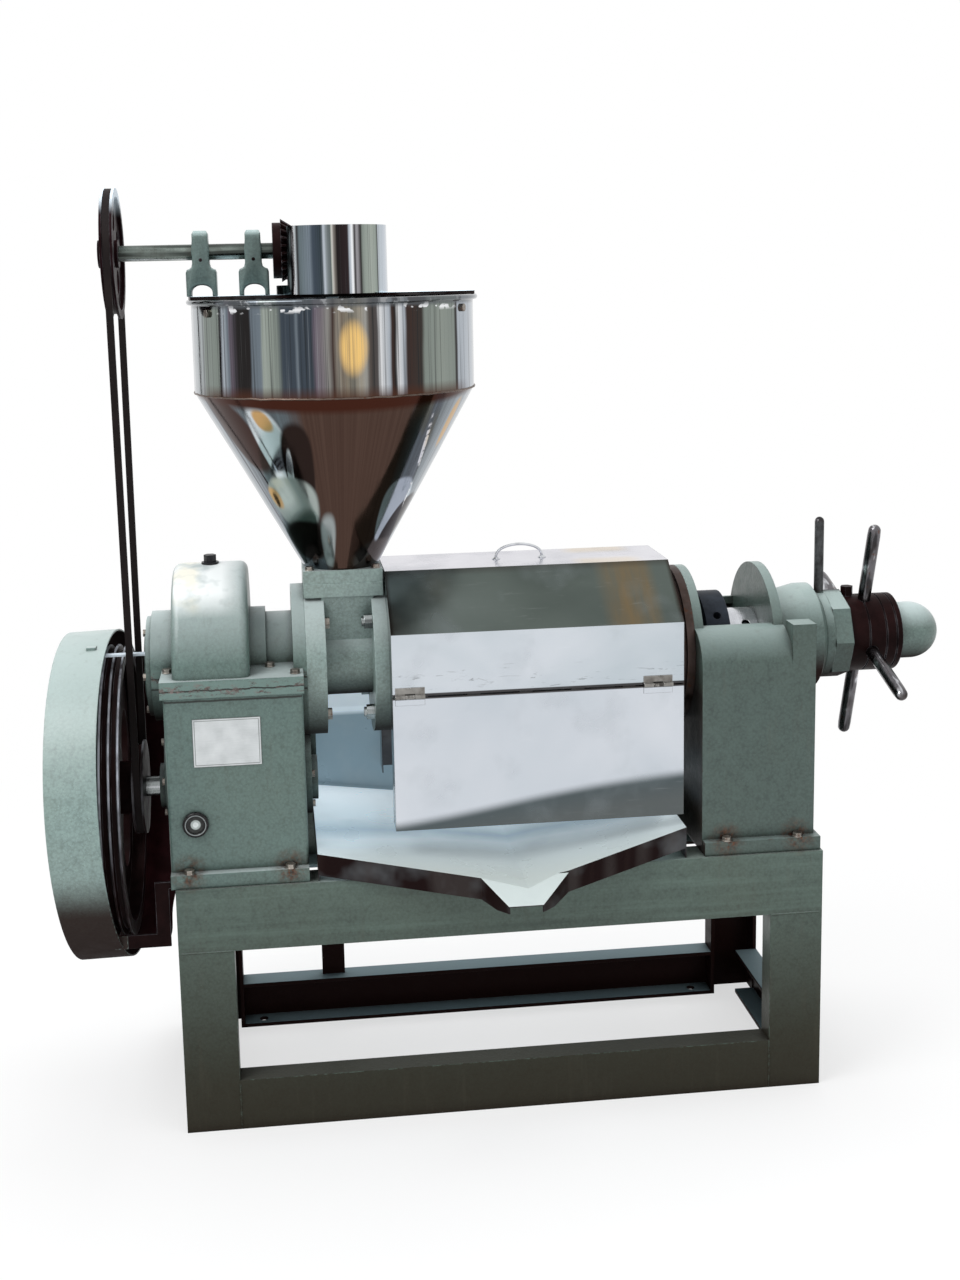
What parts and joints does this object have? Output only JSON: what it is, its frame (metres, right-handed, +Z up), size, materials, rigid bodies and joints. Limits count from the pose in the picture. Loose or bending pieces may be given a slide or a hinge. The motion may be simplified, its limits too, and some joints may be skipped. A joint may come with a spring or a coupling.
{
  "type": "screw oil press",
  "caption": "Belt-driven screw oil press on a welded bed: gearbox, mirror-steel cone hopper, covered press cage with hinged door, oil tray with spout, cake choke with a handled nut.",
  "frame": {"origin": "floor level, centre of the four anchor holes in the low rails", "axes": "+X along the press screw towards the adjusting nut, +Y to the back, +Z up"},
  "size_m": [1.7856, 0.6945, 1.789],
  "materials": {
    "bed_paint": "hammered grey-green paint, rubbed and rust-stained",
    "casting_paint": "hammered grey-green paint on castings",
    "guard_paint": "hammered grey paint on rolled sheet",
    "mirror_steel": "mirror-polished stainless sheet",
    "tray_steel": "bright folded sheet",
    "dark_iron": "near-black machined cast iron",
    "bright_steel": "machined bright steel",
    "gear_steel": "oiled gear steel",
    "cage_steel": "oiled tool steel",
    "bearing_steel": "ground bearing steel",
    "bush_bronze": "bearing bronze",
    "seal_rubber": "moulded seal",
    "belt_rubber": "worn black belt",
    "worn_bolt_steel": "rust-tinted fastener",
    "black_fitting": "black moulded plug",
    "plate_metal": "bare satin plate",
    "lens_glass": "clear sight glass"
  },
  "bodies": {
    "press": {"bed_bolts": "worn_bolt_steel", "belt_guard": "guard_paint", "breather_plug": "black_fitting", "cage_bars": "cage_steel", "cage_cover": "mirror_steel", "cage_end_ring": "cage_steel", "cage_rings": "cage_steel", "cap_screws": "worn_bolt_steel", "choke_housing": "casting_paint", "cover_bolts": "worn_bolt_steel", "cover_handle": "mirror_steel", "door_hinges": "mirror_steel", "feed_casting": "casting_paint", "feeder_belt": "belt_rubber", "feeder_brackets": "casting_paint", "flange_bolts": "worn_bolt_steel", "frame_beams": "bed_paint", "frame_legs": "bed_paint", "frame_rails": "bed_paint", "gear_cover": "mirror_steel", "gearbox_cover": "casting_paint", "gearbox_housing": "casting_paint", "guard_supports": "guard_paint", "hopper_body": "mirror_steel", "hopper_bolts": "worn_bolt_steel", "hopper_bridge": "tray_steel", "hopper_foot_plate": "casting_paint", "main_bearing_cap": "casting_paint", "main_bearings": "bearing_steel", "nameplate": "plate_metal", "oil_seals": "seal_rubber", "oil_tray": "tray_steel", "side_bearings": "bearing_steel", "side_plates": "casting_paint", "sight_glass_lens": "lens_glass", "sight_glass_ring": "bright_steel", "support_casting": "casting_paint", "tie_rods": "bright_steel", "tray_back_sheet": "tray_steel"},
    "input_line": {"input_shaft": "bright_steel", "drive_pulley": "dark_iron", "feeder_pulley": "dark_iron"},
    "middle_line": {"middle_shaft": "gear_steel", "middle_gear": "gear_steel"},
    "worm_line": {"main_shaft": "bright_steel", "main_gear": "gear_steel", "press_worm": "bright_steel"},
    "feeder_line": {"feeder_shaft": "bright_steel", "top_wheel": "dark_iron", "bevel_pinion": "dark_iron"},
    "stirrer_line": {"stirrer": "bright_steel", "bevel_gear": "dark_iron"},
    "choke": {"choke_sleeve": "bright_steel", "choke_cone": "dark_iron", "shaft_bushes": "bush_bronze"},
    "lock": {"lock_ring": "casting_paint"},
    "nut": {"adjusting_nut": "dark_iron", "nut_handles": "bright_steel", "end_cap": "casting_paint"},
    "door": {"cover_door": "mirror_steel"}
  },
  "joints": [
    {"name": "input_spin", "type": "hinge", "parent": "press", "child": "input_line", "pos_m": [0, 0, 0.62], "axis": [1, 0, 0], "continuous": true},
    {"name": "middle_spin", "type": "hinge", "parent": "press", "child": "middle_line", "pos_m": [0, 0.09062, 0.67103], "axis": [1, 0, 0], "continuous": true},
    {"name": "worm_spin", "type": "hinge", "parent": "press", "child": "worm_line", "pos_m": [0, 0, 0.866], "axis": [1, 0, 0], "continuous": true},
    {"name": "feeder_spin", "type": "hinge", "parent": "press", "child": "feeder_line", "pos_m": [0, 0, 1.667], "axis": [1, 0, 0], "continuous": true},
    {"name": "stirrer_spin", "type": "hinge", "parent": "press", "child": "stirrer_line", "pos_m": [-0.287, 0, 1.4], "axis": [0, 0, 1], "continuous": true},
    {"name": "nut_turn", "type": "hinge", "parent": "press", "child": "nut", "pos_m": [0, 0, 0.866], "axis": [1, 0, 0], "range_deg": [-450, 450]},
    {"name": "choke_slide", "type": "slide", "parent": "press", "child": "choke", "axis": [1, 0, 0], "range_m": [-0.0101, 0.0101]},
    {"name": "lock_turn", "type": "hinge", "parent": "press", "child": "lock", "pos_m": [0, 0, 0.866], "axis": [1, 0, 0], "range_deg": [-30, 30]},
    {"name": "door_swing", "type": "hinge", "parent": "press", "child": "door", "pos_m": [0, -0.20855, 0.833], "axis": [-1, 0, 0], "range_deg": [0, 165]}
  ],
  "couplings": [
    {"joint": "middle_spin", "follows": "input_spin", "ratio": -0.44444},
    {"joint": "worm_spin", "follows": "input_spin", "ratio": 0.10159},
    {"joint": "feeder_spin", "follows": "input_spin", "ratio": 0.74359},
    {"joint": "stirrer_spin", "follows": "input_spin", "ratio": -0.4305},
    {"joint": "choke_slide", "follows": "nut_turn", "m_per_rad": 0.0012732}
  ]
}
